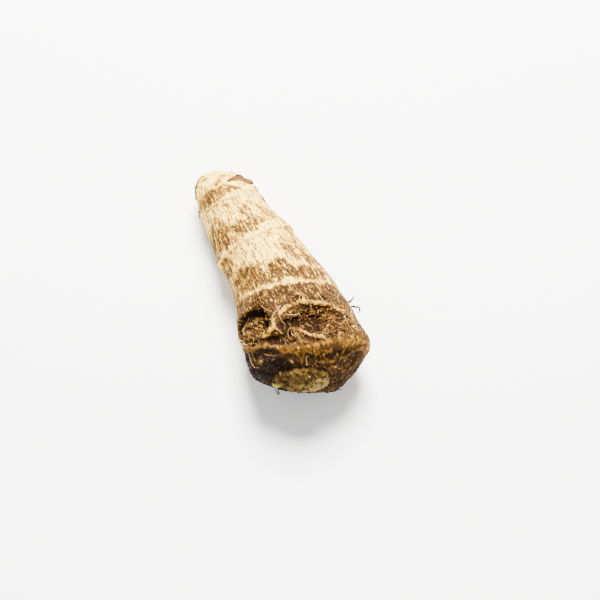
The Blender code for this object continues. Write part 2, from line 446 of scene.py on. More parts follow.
face_folds = torn_line(0.7, 0.4, (10.0, 60), (7.0, 38), (5.4, 20), (5.9, -3))
face_folds = np.maximum(face_folds, torn_line(0.6, 0.4, (6.5, 70), (2.6, 52), (3.9, 18)))
face_folds = np.maximum(face_folds, torn_line(0.5, 0.3, (9.0, -13), (6.8, -21)))
height += 0.55 * face_folds

# The bud: an oval swelling of overlapping scales on the end face, its tip to the left.
BUD_TIP = np.array([-19.4, -49.9, 24.4])
BUD_MIDDLE = (-8.6, 29.6)
BUD_HALF = (11.4, 9.1)
SCALE_EDGES = (5.5, 10.0, 15.5, 20.0)
from_tip = np.linalg.norm(form - BUD_TIP, axis=-1)
bud_far = np.hypot(
    (form[..., 0] - BUD_MIDDLE[0]) / BUD_HALF[0],
    (form[..., 2] - BUD_MIDDLE[1]) / BUD_HALF[1],
)
bud_far = bud_far + 0.05 * lumps(54, 4.0, 2)
near_end = ramp(along, 12.0, 9.0)
bud = ramp(bud_far, 1.03, 0.90) * near_end
scale_steps = np.zeros_like(along)
scale_seams = np.zeros_like(along)
for edge in SCALE_EDGES:
    beyond = from_tip - edge - 1.6 * lumps(55, 4.0, 3)
    step = 0.28 * np.exp(-np.maximum(beyond, 0) / 3.0) * ramp(beyond, -0.3, 0.2)
    scale_steps = scale_steps + step
    scale_seams = np.maximum(scale_seams, band(beyond + 0.4, 0.45))
bud_edge = band(bud_far - 1.0, 0.08) * near_end
tip_bud = band(from_tip, 2.1)
height = height + bud * (0.5 + scale_steps - 0.3 * scale_seams + 0.30 * lumps(56, 2.6, 3))
height = height - 0.7 * bud_edge + 1.6 * tip_bud

# The thin end: the torn edge of the last leaf base over a paler, lumpy cap.
CAP_TURNS = (-180, -75, -45, -30, -12, 2, 14, 26, 40, 120, 180)
CAP_LINE = (108.0, 113.5, 109.5, 105.6, 104.6, 106.2, 104.0, 100.8, 99.6, 104.0, 108.0)
cap_past = along - np.interp(turn, CAP_TURNS, CAP_LINE) - 0.5 * streaks(58, 1.5, ROUND_ABOUT, 2)
cap = ramp(cap_past, -0.3, 0.8)
height = height + 0.55 * ramp(cap_past, -0.3, 0.5) * np.exp(-np.maximum(cap_past, 0) / 4.0)
height += cap * (0.45 * lumps(59, 3.5, 3))

normals = normals_of(form)
skin_points = form + normals * height[..., None]
skin_points[..., 2] = np.maximum(skin_points[..., 2], LOWEST)
# How far each point lies below its blurred neighbours, negative where it stands proud. From this the
# skin's material paints shade in the hollows and light on the crests.
hollow = np.clip((blurred(height, *RELIEF_BLUR) - height) / HOLLOW_DEPTH, -1.0, 1.0)

tips = np.stack(
    [
        2 * skin_points[0].mean(axis=0) - skin_points[1].mean(axis=0),
        2 * skin_points[-1].mean(axis=0) - skin_points[-2].mean(axis=0),
    ]
)
vertices = np.concatenate([skin_points.reshape(-1, 3), tips]) * MM
rows = len(lean)
grid_size = rows * COLUMNS
index = np.arange(grid_size).reshape(rows, COLUMNS)
beside = np.roll(index, -1, axis=1)
quads = np.stack([index[:-1], index[1:], beside[1:], beside[:-1]], axis=-1).reshape(-1, 4)
first_cap = np.stack([index[0], beside[0], np.full(COLUMNS, grid_size)], axis=-1)
last_cap = np.stack([beside[-1], index[-1], np.full(COLUMNS, grid_size + 1)], axis=-1)
skin_mesh = bpy.data.meshes.new("skin")
skin_mesh.from_pydata(
    vertices.tolist(), [], quads.tolist() + first_cap.tolist() + last_cap.tolist()
)
skin_mesh.shade_smooth()


def store(name, values, ends=(0.0, 0.0)):
    """Keeps a value for each point of the skin, for its material to read."""
    layer = skin_mesh.attributes.new(name, "FLOAT", "POINT")
    layer.data.foreach_set("value", np.concatenate([values.ravel(), ends]).astype(np.float32))


# How much brown bark covers the cream skin, patch by patch: its place, turn, length,
# width and strength.
BARK_PATCHES = (
    (101.5, -45, 10.0, 20.0, 0.95),
    (102.5, -12, 6.5, 16.0, 0.80),
    (103.0, 18, 4.0, 7.0, 1.10),
    (82.0, -58, 18.0, 24.0, 0.92),
    (79.0, -28, 11.0, 16.0, 0.72),
    (80.0, 2, 10.0, 17.0, 0.82),
    (88.0, 12, 10.0, 8.0, 0.60),
    (84.0, 38, 14.0, 9.0, 0.55),
    (66.0, -75, 16.0, 20.0, 0.90),
    (53.5, -38, 15.0, 24.0, 1.05),
    (50.5, -5, 9.0, 18.0, 1.02),
    (53.0, 10, 10.0, 11.0, 1.05),
    (49.5, 30, 8.0, 16.0, 1.0),
    (62.0, 35, 14.0, 14.0, 0.60),
    (52.0, 60, 22.0, 18.0, 0.82),
    (72.0, 70, 18.0, 14.0, 0.62),
    (90.0, 75, 18.0, 12.0, 0.55),
    (47.0, -110, 30.0, 50.0, 0.90),
    (60.0, 150, 50.0, 60.0, 0.85),
    (88.0, -150, 30.0, 40.0, 0.85),
    (100.0, 130, 20.0, 26.0, 0.75),
    (70.0, -125, 22.0, 26.0, 0.70),
)
BARE_BARK = 0.23
bark = np.full_like(along, BARE_BARK)
for number, (place, angle, length, width, strength) in enumerate(BARK_PATCHES):
    far = oval(place, angle, length, width)[0] + 0.35 * lumps(70 + number, 5.0, 2)
    bark = np.maximum(bark, strength * ramp(far, 1.35, 0.55))
crown_bark = (1.30 - 0.35 * ramp(np.abs(turn), 60, 110)) * ramp(
    along + 0.8 * streaks(67, 1.6, ROUND_ABOUT, 2), 45.0, 43.3
)
bark = np.maximum(bark, crown_bark)

# Where soil sticks and shade is painted nearly black in the cracks and holes, where the torn flesh is
# gold, the gaps and crests of the pits' folds for painted shade and highlight, and where it is hollow
# or proud.
brown_patch = oval(15.5, -57, 9.0, 8.0)[0] + 0.3 * lumps(65, 3.0, 2)
black_side = (1 - 0.5 * ramp(brown_patch, 1.3, 0.6)) * ramp(turn, -24, -40)
black_side = black_side * ramp(turn, -125, -105) * ramp(past, 0.0, -2.2) * (1 - bud)
# Soil on the left of the end face, and painted shade, nearly black, in the cracks, holes, pit cores and
# the groove under the pits. The crack inside the left pit's rim is its painted shadow.
soil_and_shade = np.maximum.reduce(
    [
        black_side,
        left_hole,
        1.2 * left_crack,
        low_hollow,
        side_hollow,
        1.4 * cleft,
        scar_hole,
        0.62 * right_core,
        0.85 * under_pits,
    ]
)
soil_and_shade = soil_and_shade * (1 - tip_bud) * (1 - 0.8 * strand)
golden = np.maximum.reduce(
    [1.2 * gold_line, 0.70 * right_side, 0.4 * low_rim, 0.4 * left_rim, 1.1 * strand]
)
# The gaps between the pits' folds and their crests, where the material paints shade and highlight.
gaps = right_pit * ramp(right_folds + 0.3 * torn, 0.15, -0.45) * (1 - crescent)
gaps = np.maximum(gaps, left_pit * ramp(floor_folds + 0.3 * torn, 0.15, -0.45) * (1 - strand))
crests = right_pit * ramp(right_folds, 0.25, 0.58) + left_pit * ramp(floor_folds, 0.25, 0.58)
crown = ramp(along + 2.0 * torn, 34.0, 30.5) * ramp(past, -1.8, -0.4) * ramp(turn, -82, -70)
crown = crown * ramp(turn, 84, 60)
any_pit = np.maximum(left_pit, right_pit)
BUD_LIGHT_MIDDLE = (-4.6, 28.0)
BUD_LIGHT_HALF = (8.0, 7.5)
bud_light = np.hypot(
    (form[..., 0] - BUD_LIGHT_MIDDLE[0]) / BUD_LIGHT_HALF[0],
    (form[..., 2] - BUD_LIGHT_MIDDLE[1]) / BUD_LIGHT_HALF[1],
)
for name, values in {
    "gaps": gaps,
    "crests": crests,
    "bark": bark,
    "hollow": hollow,
    "crown": crown,
    "pits": any_pit,
    "gold": np.clip(golden, 0, 1),
    "crescent": crescent,
    "soil_and_shade": np.clip(soil_and_shade, 0, 1),
    "ridge": np.clip(band(past + 0.6, 2.6) * over_top * (1 - left_lip), 0, 1),
    "fold": np.clip(np.maximum(fold * ramp(turn, 12, 30), 0.5 * face_folds), 0, 1),
    "lip": lip,
    "bud": bud,
    "bud_light": ramp(bud_light, 1.15, 0.6),
    "bud_seams": bud * np.maximum(scale_seams, bud_edge),
    "tip_bud": tip_bud,
    "ring_edge": ring_edge,
    "ring_shadow": ring_shadow,
}.items():
    store(name, values)
store("end_face", end_face * (1 - bud), (1.0, 0.0))
store("cap", cap, (0.0, 1.0))

# How thickly bark fibres and root hairs grow.
fibrous = np.clip(0.25 + bark - 0.6 * cap + 1.5 * ring_edge, 0, 2) * ramp(past, 0, 3)
fibrous = fibrous * (1 - any_pit) * (1 - 0.65 * crown) * (1 - np.clip(soil_and_shade, 0, 1))
store("fibrous", fibrous * ramp(np.abs(turn), 165, 140))
hairy = 0.14 * any_pit + black_side + 0.35 * under_pits
hairy = hairy + 0.6 * torn_line(1.5, 0.0, (29.0, -16), (33.6, -10), (34.2, 5))
store("hairy", hairy + 0.12 * end_face * (1 - bud))


def store_vector(name, vectors, ends):
    """Keeps a vector for each point of the skin."""
    layer = skin_mesh.attributes.new(name, "FLOAT_VECTOR", "POINT")
    flat = np.concatenate([vectors.reshape(-1, 3), ends]).astype(np.float32)
    layer.data.foreach_set("vector", flat.ravel())


store_vector("grain", grain, [[0.0, 0.0, 0.0], [0.0, 0.0, BODY_LENGTH]])
lengthwise = np.gradient(form, axis=0)
lengthwise /= np.linalg.norm(lengthwise, axis=2, keepdims=True)
store_vector("lengthwise", lengthwise, [[0.0, 1.0, 0.0], [0.0, 1.0, 0.0]])

# The skin unrolled flat, cut along the underside: round the corm one way, and from
# the thick end to the thin end the other.
down = np.cumsum(np.linalg.norm(np.diff(form[:, COLUMNS // 2], axis=0, prepend=tips[:1]), axis=1))
down = np.concatenate([down / (down[-1] + LAST_STEP), [0.0, 1.0]])
loop_points = np.concatenate([quads.ravel(), first_cap.ravel(), last_cap.ravel()])
loop_column = np.concatenate(
    [np.repeat(np.tile(np.arange(COLUMNS), rows - 1), 4), np.repeat(np.tile(np.arange(COLUMNS), 2), 3)]
)
on_grid = loop_points < grid_size
next_column = on_grid & (loop_points % COLUMNS != loop_column)
u = (loop_column + np.where(on_grid, next_column, 0.5)) / COLUMNS
v = down[np.where(on_grid, loop_points // COLUMNS, loop_points - grid_size + rows)]
unrolled = skin_mesh.uv_layers.new(name="OFBake")
unrolled.data.foreach_set("uv", np.stack([u, v], axis=-1).astype(np.float32).ravel())


class Value:
    """A node's output that Python's operators act on, each adding its own Math node."""

    def __init__(self, nodes, socket):
        self.nodes = nodes
        self.socket = socket

    def maths(self, operation, *numbers):
        return self.nodes.add("ShaderNodeMath", {"operation": operation}, numbers)

    def __add__(self, other):
        return self.maths("ADD", self, other)

    __radd__ = __add__

    def __sub__(self, other):
        return self.maths("SUBTRACT", self, other)

    def __rsub__(self, other):
        return self.maths("SUBTRACT", other, self)

    def __mul__(self, other):
        return self.maths("MULTIPLY", self, other)

    __rmul__ = __mul__

    def between(self, start, end):
        """0 at start, 1 at end, smooth between them."""
        settings = {"interpolation_type": "SMOOTHSTEP"}
        return self.nodes.add("ShaderNodeMapRange", settings, (self, start, end))


class Nodes:
    """A node tree, made one call at a time."""

    def __init__(self, tree):
        self.tree = tree

    def join(self, value, socket):
        if isinstance(value, Value):
            self.tree.links.new(value.socket, socket)
        elif isinstance(value, tuple) and socket.type == "RGBA":
            socket.default_value = (*value, 1.0)
        else:
            socket.default_value = value

    def add(self, kind, settings, inputs, output=0):
        """A node of a kind, its settings made first and its sockets by order or by name."""
        node = self.tree.nodes.new(kind)
        for name, setting in settings.items():
            setattr(node, name, setting)
        named = inputs.items() if isinstance(inputs, dict) else enumerate(inputs)
        for key, value in named:
            self.join(value, node.inputs[key])
        return Value(self, node.outputs[output])

    def vectors(self, operation, *vectors):
        """Vector maths on two vectors, or on a vector and a Scale."""
        inputs = dict(enumerate(vectors))
        if operation == "SCALE":
            inputs = {0: vectors[0], "Scale": vectors[1]}
        return self.add("ShaderNodeVectorMath", {"operation": operation}, inputs)

    def noise(self, vector, scale, detail=3.0, roughness=0.55, output=0):
        inputs = {"Vector": vector, "Scale": scale, "Detail": detail, "Roughness": roughness}
        return self.add("ShaderNodeTexNoise", {}, inputs, output)


class Finish(Nodes):
    """A material."""

    def __init__(self, name):
        self.material = bpy.data.materials.new(name)
        self.material.use_nodes = True
        super().__init__(self.material.node_tree)
        self.shader = self.tree.nodes["Principled BSDF"]

    def set(self, socket, value):
        self.join(value, self.shader.inputs[socket])

    def stored(self, name, output="Fac"):
        """A value kept on the mesh."""
        return self.add("ShaderNodeAttribute", {"attribute_name": name}, (), output)

    def blend(self, share, first, second):
        """One colour laid over another."""
        return self.add("ShaderNodeMix", {"data_type": "RGBA"}, {0: share, 6: first, 7: second}, 2)

    def bump(self, height, distance):
        return self.add("ShaderNodeBump", {}, {"Height": height, "Distance": distance})


PALE = (0.97, 0.69, 0.13)
CREAM = (0.66, 0.365, 0.036)
TAN = (0.165, 0.076, 0.012)
BROWN = (0.052, 0.0240, 0.0070)
DARK_BROWN = (0.019, 0.0080, 0.0028)
# Nearly black: soil, and painted shade in the pits' gaps, cracks and holes.
SOIL_AND_SHADE = (0.0062, 0.0028, 0.0012)
GOLD = (0.26, 0.115, 0.010)
OCHRE = (0.105, 0.045, 0.006)
OLIVE = (0.095, 0.056, 0.010)
GREEN = (0.30, 0.27, 0.038)
WARM_TAN = (0.22, 0.092, 0.011)
WARM_BROWN = (0.075, 0.030, 0.005)
FLESH = (0.070, 0.028, 0.0055)
BRIGHT_FLESH = (0.30, 0.142, 0.016)
BRIGHT_GOLD = (0.46, 0.24, 0.022)
CRESCENT_BROWN = (0.17, 0.068, 0.012)
CRESCENT_PINK = (0.52, 0.245, 0.040)
END_CREASE = (0.085, 0.042, 0.008)
RIDGE_BROWN = (0.050, 0.020, 0.003)
RIDGE_GOLD = (0.20, 0.085, 0.006)
FOLD_GOLD = (0.30, 0.145, 0.014)
LIP_BROWN = (0.13, 0.058, 0.008)
BUD_BROWN = (0.032, 0.016, 0.004)
BUD_PALE = (0.22, 0.15, 0.040)
RING_CREAM = (0.97, 0.63, 0.16)
RING_SHADE = (0.20, 0.088, 0.014)

finish = Finish("bark")
place = finish.add("ShaderNodeTexCoord", {}, (), "Object")
grain_place = finish.stored("grain", "Vector")
short_grain = finish.vectors("MULTIPLY", grain_place, (1.0, 1.0, 0.27))
long_grain = finish.vectors("MULTIPLY", grain_place, (1.0, 1.0, 0.10))
fine = finish.noise(short_grain, 0.95, 3.0, 0.6)
thin = finish.noise(short_grain, 2.3, 2.0, 0.6)
broad = finish.noise(long_grain, 0.45, 3.0, 0.6)
mottle = finish.noise(place, 170.0, 4.0, 0.6)
speck = finish.noise(place, 620.0, 2.0, 0.6)
grit = finish.noise(place, 1450.0, 2.0, 0.6)
patches = finish.noise(place, 60.0, 2.0, 0.5)
uneven = mottle - 0.5
flecks = speck - 0.5
fine_lines = fine - 0.5
crumble = flecks * 0.8 + (grit - 0.5) * 1.2
hollow_shading = finish.stored("hollow")
bark_value = finish.stored("bark")

# Bare bark: cream where it has worn through, then tan, brown and nearly black. It is painted darker in
# the hollows of the relief and paler on its crests, as painted shade and painted light.
tone = bark_value + fine_lines * 3.4 + (thin - 0.5) * 3.0 + (broad - 0.5) * 1.4
tone = tone + (patches - 0.5) * 0.5 + hollow_shading * 0.15
warm = patches.between(0.46, 0.62)
colour = finish.blend(tone.between(-0.05, 0.32), PALE, CREAM)
colour = finish.blend(tone.between(0.30, 0.66), colour, finish.blend(warm, TAN, WARM_TAN))
colour = finish.blend(tone.between(0.62, 0.98), colour, finish.blend(warm, BROWN, WARM_BROWN))
colour = finish.blend(tone.between(1.00, 1.45), colour, DARK_BROWN)

# The cap of the thin end, and the crumbly bark of the crown round the pits. The cap is painted tan in
# its hollows as painted shade.
cap_skin = finish.blend((mottle + fine_lines * 0.8).between(0.40, 0.60), PALE, CREAM)
cap_skin = finish.blend((mottle + hollow_shading * 0.15).between(0.54, 0.70), cap_skin, TAN)
crown_skin = finish.blend((mottle + crumble * 0.4).between(0.40, 0.58), BROWN, DARK_BROWN)
crown_skin = finish.blend((crumble + (patches - 0.5) * 0.8).between(0.06, 0.26) * 0.9, crown_skin, GOLD)

# Torn flesh of the pits, with the gold of their rims and the pale crescent. The flesh is painted
# lighter on the crests of its folds as painted highlight, and nearly black in the gaps between them and
# in its hollows as painted shade.
pits = finish.stored("pits")
crests = finish.stored("crests")
gaps = finish.stored("gaps")
flesh = finish.blend((mottle + crumble * 0.6).between(0.44, 0.66), DARK_BROWN, FLESH)
bright = crumble + crests * 0.16 - hollow_shading * 0.16 - gaps * 0.2
flesh = finish.blend(bright.between(0.16, 0.38) * 0.85, flesh, BRIGHT_FLESH)
black = gaps * 0.34 + hollow_shading * 0.20 - crumble
flesh = finish.blend(black.between(0.10, 0.34), flesh, SOIL_AND_SHADE)
gold = finish.blend((mottle + crumble * 0.7).between(0.36, 0.60), OCHRE, BRIGHT_GOLD)
gold_share = finish.stored("gold") * 1.1 + uneven * 1.1 + crumble * 0.8
crescent_share = finish.stored("crescent") + crumble * 0.9 + uneven * 0.8
crescent_skin = finish.blend(grit.between(0.36, 0.56), CRESCENT_BROWN, CRESCENT_PINK)

# The end face, the ridge round it with its fold and lip, and the bud.
end_skin = finish.blend((fine + uneven).between(0.38, 0.66), DARK_BROWN, BROWN)
end_skin = finish.blend((fine + crumble * 0.3).between(0.52, 0.72) * 0.7, end_skin, END_CREASE)
ridge_skin = finish.blend((fine + uneven).between(0.42, 0.62), RIDGE_BROWN, RIDGE_GOLD)
ridge_share = finish.stored("ridge") + uneven * 1.2 + flecks * 0.8
fold_share = finish.stored("fold") + crumble * 0.7 + uneven * 0.9
fold_skin = finish.blend(grit.between(0.4, 0.6), OCHRE, FOLD_GOLD)
lip_share = finish.stored("lip") + crumble + uneven * 1.6
bud_skin = finish.blend((mottle + flecks * 0.8).between(0.42, 0.60), BUD_BROWN, OLIVE)
light_share = finish.stored("bud_light") + uneven * 2.4 + flecks
bud_skin = finish.blend(light_share.between(0.40, 1.0), bud_skin, BUD_PALE)
seam_share = finish.stored("bud_seams") + uneven * 1.6
bud_skin = finish.blend(seam_share.between(0.30, 1.0) * 0.7, bud_skin, DARK_BROWN)

# The pale edges of the leaf scars, the shade below them, and the soil with the shade painted in cracks,
# holes and pit cores.
ring_share = finish.stored("ring_edge") + fine_lines * 2.4 + (thin - 0.5) * 1.5
shade_share = finish.stored("ring_shadow") + fine_lines * 2.4
soil_and_shade_share = finish.stored("soil_and_shade") + uneven * 1.1 + flecks * 0.5

# Each lies over the bark where its share says, the last one uppermost.
for share, layer in (
    (finish.stored("cap"), cap_skin),
    (finish.stored("crown"), crown_skin),
    (pits, flesh),
    (gold_share.between(0.45, 0.80), gold),
    (crescent_share.between(0.32, 0.66), crescent_skin),
    (finish.stored("end_face"), end_skin),
    (ridge_share.between(0.30, 0.80), ridge_skin),
    (fold_share.between(0.30, 0.85) * 0.8, fold_skin),
    (lip_share.between(0.60, 1.05), LIP_BROWN),
    (finish.stored("bud"), bud_skin),
    (finish.stored("tip_bud").between(0.2, 0.5), GREEN),
    (ring_share.between(0.30, 0.90) * 0.85, RING_CREAM),
    (shade_share.between(0.45, 1.1) * 0.7, RING_SHADE),
    # Soil, and painted shade in cracks, holes and pit cores.
    (soil_and_shade_share.between(0.30, 0.75), SOIL_AND_SHADE),
    # Painted shade: the deepest hollows of the relief darkened towards dark brown.
    (hollow_shading.between(0.25, 1.0) * 0.7, DARK_BROWN),
):
    colour = finish.blend(share, colour, layer)
finish.set("Base Color", colour)
finish.set("Roughness", 0.52 + tone.between(0.1, 0.8) * 0.25)
finish.set("Specular IOR Level", 0.035)
relief = fine * 0.5 + thin * 0.5 + mottle * 0.3 + speck * 0.35 + grit * pits * 0.4
finish.set("Normal", finish.bump(relief, 0.0008))
skin_mesh.materials.append(finish.material)

skin = bpy.data.objects.new("skin", skin_mesh)
bpy.context.scene.collection.objects.link(skin)
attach(skin, "root")
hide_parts("corm")

# Fibres and hairs: the corm's own bark frays into dry threads, and fine root hairs
# cling to the torn pits and to the soil on its thick end. Each grows from the skin.
STRAND_POINTS = 9
STRAND_SIDES = 3
SHORTEST = 0.35
STRAY_SEED, LENGTH_SEED, SHADE_SEED = 11, 12, 13
STRIP_WIDTH = 0.02
TABLE_GAP = 0.2
ABOVE_TABLE = (-1.0, -1.0, TABLE_GAP * MM)


def new_tree(name, inputs):
    """A tree with named inputs: it, its nodes, which socket each name is, and their values."""
    tree = bpy.data.node_groups.new(name, "GeometryNodeTree")
    tree.interface.new_socket("Mesh", in_out="OUTPUT", socket_type="NodeSocketGeometry")
    sockets = {}
    for title, kind in inputs.items():
        socket = tree.interface.new_socket(title, in_out="INPUT", socket_type="NodeSocket" + kind)
        sockets[title] = socket.identifier
    nodes = Nodes(tree)
    outputs = tree.nodes.new("NodeGroupInput").outputs
    given = {socket.name: Value(nodes, socket) for socket in outputs if socket.name}
    return tree, nodes, sockets, given


strand_tree, nodes, STRAND_INPUTS, given = new_tree(
    "strands",
    {
        "Bed": "Geometry",
        "Skin": "Object",
        "Where": "String",
        "Count per Area": "Float",
        "Seed": "Int",
        "Length": "Float",
        "Thickness": "Float",
        "Stray": "Float",
        "Curl": "Float",
        "Curl Size": "Float",
        "Lift": "Float",
        "Finish": "Material",
    },
)


def kept(name, kind):
    """A value kept on the bed or on a thread, read by its name."""
    return nodes.add("GeometryNodeInputNamedAttribute", {"data_type": kind}, {"Name": name})


def keep(geometry, name, value, kind="FLOAT", domain="POINT"):
    """Stores a value on a shape, to be read by its name later on."""
    return nodes.add(
        "GeometryNodeStoreNamedAttribute",
        {"data_type": kind, "domain": domain},
        {"Geometry": geometry, "Name": name, "Value": value},
    )


def chance(kind, low, high, seed):
    """A random number or vector for each point or thread."""
    low_socket, high_socket, output = {"FLOAT": (2, 3, 1), "FLOAT_VECTOR": (0, 1, 0)}[kind]
    inputs = {"Seed": seed, low_socket: low, high_socket: high}
    return nodes.add("FunctionNodeRandomValue", {"data_type": kind}, inputs, output)


def thread_outline(sides, radius):
    """The section of a thread, which keeps where each of its corners comes round it."""
    inputs = {"Resolution": sides, "Radius": radius}
    outline = nodes.add("GeometryNodeCurvePrimitiveCircle", {}, inputs)
    return keep(outline, "side", nodes.add("GeometryNodeInputIndex", {}, ()) * (1 / sides))


density = given["Count per Area"] * kept(given["Where"], "FLOAT")
scatter = nodes.add(
    "GeometryNodeDistributePointsOnFaces",
    {"distribute_method": "RANDOM"},
    {"Mesh": given["Bed"], "Density": density, "Seed": given["Seed"]},
)
stray = chance("FLOAT_VECTOR", (-1.0, -1.0, -1.0), (1.0, 1.0, 1.0), STRAY_SEED)
heading = nodes.vectors(
    "ADD", kept("lengthwise", "FLOAT_VECTOR"), nodes.vectors("SCALE", stray, given["Stray"])
)
facing = nodes.add("FunctionNodeAlignRotationToVector", {"axis": "Z"}, {"Vector": heading})
end = nodes.add("ShaderNodeCombineXYZ", {}, {"Z": given["Length"]})
straight = nodes.add("GeometryNodeCurvePrimitiveLine", {}, {"End": end})
straight = nodes.add("GeometryNodeResampleCurve", {}, {"Curve": straight, "Count": STRAND_POINTS})
strands = nodes.add(
    "GeometryNodeInstanceOnPoints",
    {},
    {
        "Points": scatter,
        "Instance": straight,
        "Rotation": facing,
        "Scale": chance("FLOAT", SHORTEST, 1.0, LENGTH_SEED),
    },
)
strands = nodes.add("GeometryNodeRealizeInstances", {}, {"Geometry": strands})
here = nodes.add("GeometryNodeInputPosition", {}, ())
part_way = nodes.add("GeometryNodeSplineParameter", {}, ())
shade = nodes.add(
    "GeometryNodeFieldOnDomain",
    {"domain": "CURVE", "data_type": "FLOAT"},
    (chance("FLOAT", 0.0, 1.0, SHADE_SEED),),
)
inputs = {"Vector": here, "Scale": given["Curl Size"], "Detail": 1.0}
sway = nodes.add("ShaderNodeTexNoise", {}, inputs, "Color")
sway = nodes.vectors("SUBTRACT", sway, (0.5, 0.5, 0.5))
sway = nodes.vectors("SCALE", sway, given["Curl"] * part_way)
strands = nodes.add("GeometryNodeSetPosition", {}, {"Geometry": strands, "Offset": sway})
skin_shape = nodes.add("GeometryNodeObjectInfo", {}, {"Object": given["Skin"]}, "Geometry")
nearest = nodes.add(
    "GeometryNodeProximity", {"target_element": "FACES"}, {"Geometry": skin_shape}, "Position"
)
outward = nodes.add(
    "GeometryNodeSampleNearestSurface",
    {"data_type": "FLOAT_VECTOR"},
    {"Mesh": skin_shape, "Value": nodes.add("GeometryNodeInputNormal", {}, ())},
)
rise = given["Lift"] * shade * part_way.between(0.0, 0.9) + given["Thickness"] * 0.4
laid = nodes.vectors("ADD", nearest, nodes.vectors("SCALE", outward, rise))
laid = nodes.vectors("MAXIMUM", laid, ABOVE_TABLE)
strands = nodes.add("GeometryNodeSetPosition", {}, {"Geometry": strands, "Position": laid})
narrowing = 1.0 - part_way.between(0.3, 1.3) * 0.8
strands = keep(keep(strands, "shade", shade), "part_way", part_way)
outline = thread_outline(STRAND_SIDES, given["Thickness"])
threads = nodes.add(
    "GeometryNodeCurveToMesh",
    {},
    {"Curve": strands, "Profile Curve": outline, "Scale": narrowing, "Fill Caps": True},
)


def finish_threads(tree, threads):
    """Ends a tree of threads: each is unrolled as a narrow strip, and finished."""
    across_strip = kept("shade", "FLOAT") * (1 - STRIP_WIDTH) + kept("side", "FLOAT") * STRIP_WIDTH
    flat = nodes.add("ShaderNodeCombineXYZ", {}, {"X": across_strip, "Y": kept("part_way", "FLOAT")})
    threads = keep(threads, "OFBake", flat, "FLOAT2", "CORNER")
    threads = nodes.add("GeometryNodeRealizeInstances", {}, {"Geometry": threads})
    inputs = {"Geometry": threads, "Material": given["Finish"]}
    threads = nodes.add("GeometryNodeSetMaterial", {}, inputs)
    tree.links.new(threads.socket, tree.nodes.new("NodeGroupOutput").inputs[0])


finish_threads(strand_tree, threads)


def grown(name, bed_mesh, tree, sockets, sizes):
    """A piece that a tree grows on a bed, as a plain mesh that rides with the corm."""
    piece = bpy.data.objects.new(name, bed_mesh.copy())
    bpy.context.scene.collection.objects.link(piece)
    modifier = piece.modifiers.new("grown", "NODES")
    modifier.node_group = tree
    for size, value in sizes.items():
        modifier[sockets[size]] = value
    graph = bpy.context.evaluated_depsgraph_get()
    plain = bpy.data.meshes.new_from_object(piece.evaluated_get(graph), depsgraph=graph)
    piece.modifiers.clear()
    piece.data = plain
    plain.name = name
    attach(piece, "root")


def thread_finish(name, pale, dark):
    """Dry thread: each one its own shade between two colours, darker towards its tip."""
    finish = Finish(name)
    shade = finish.stored("shade")
    part_way = finish.stored("part_way")
    place = finish.add("ShaderNodeTexCoord", {}, (), "Object")
    worn = finish.noise(place, 420.0, 2.0)
    share = (shade + (worn - 0.5) * 1.2 + part_way * 0.25).between(0.15, 0.95)
    finish.set("Base Color", finish.blend(share, pale, dark))
    finish.set("Roughness", 0.6 + worn * 0.25)
    finish.set("Normal", finish.bump(worn, 0.0002))
    finish.set("Specular IOR Level", 0.1)
    return finish.material


grown(
    "bark_fibres",
    skin_mesh,
    strand_tree,
    STRAND_INPUTS,
    {
        "Skin": skin,
        "Where": "fibrous",
        "Count per Area": 2.2e5,
        "Seed": 3,
        "Length": 0.0085,
        "Thickness": 0.00010,
        "Stray": 0.16,
        "Curl": 0.0016,
        "Curl Size": 260.0,
        "Lift": 0.0007,
        "Finish": thread_finish("dry_fibre", CREAM, BROWN),
    },
)
grown(
    "root_hairs",
    skin_mesh,
    strand_tree,
    STRAND_INPUTS,
    {
        "Skin": skin,
        "Where": "hairy",
        "Count per Area": 4.6e5,
        "Seed": 8,
        "Length": 0.0095,
        "Thickness": 0.000085,
        "Stray": 1.6,
        "Curl": 0.0060,
        "Curl Size": 190.0,
        "Lift": 0.0016,
        "Finish": thread_finish("root_hair", (0.26, 0.145, 0.045), (0.030, 0.014, 0.005)),
    },
)

# Rootlets: a few wiry dead roots still stand out from the skin or lie along it, dark
# on the right side and under the bud, pale and stringy beside the pits.
ROOT_SIDES = 7
POINTS_NEAR = 6
NEAREST_WEIGHT = 0.05
SHADE_STEP = 0.37


def on_skin(places):
    """Points at (along, turn, rise) over the skin, in metres."""
    points = []
    for place, angle, rise in places:
        sideways = np.radians(angle) * np.interp(place, SLANT_PLACES, GIRTHS)
        far = ((along - place) ** 2 + (across - sideways) ** 2).ravel()
        near = np.argpartition(far, POINTS_NEAR)[:POINTS_NEAR]
        weights = 1 / (far[near] + NEAREST_WEIGHT)
        weights = (weights / weights.sum())[:, None]
        point = (skin_points.reshape(-1, 3)[near] * weights).sum(axis=0)
        facing = (normals.reshape(-1, 3)[near] * weights).sum(axis=0)
        point = point + facing / np.linalg.norm(facing) * rise
        points.append((*(point[:2] * MM), max(point[2], TABLE_GAP) * MM))
    return points


def path_mesh(name, routes, girths):
    """A mesh of bare edges along the routes, which keeps each one's girth and shade."""
    points, edges, girth_values, shades = [], [], [], []
    for number, (route, girth) in enumerate(zip(routes, girths)):
        edges += [(len(points) + step, len(points) + step + 1) for step in range(len(route) - 1)]
        points += on_skin(route)
        girth_values += [girth * MM] * len(route)
        shades += [(number * SHADE_STEP) % 1.0] * len(route)
    mesh = bpy.data.meshes.new(name)
    mesh.from_pydata(points, edges, [])
    for attribute, values in (("girth", girth_values), ("shade", shades)):
        mesh.attributes.new(attribute, "FLOAT", "POINT").data.foreach_set("value", values)
    return mesh


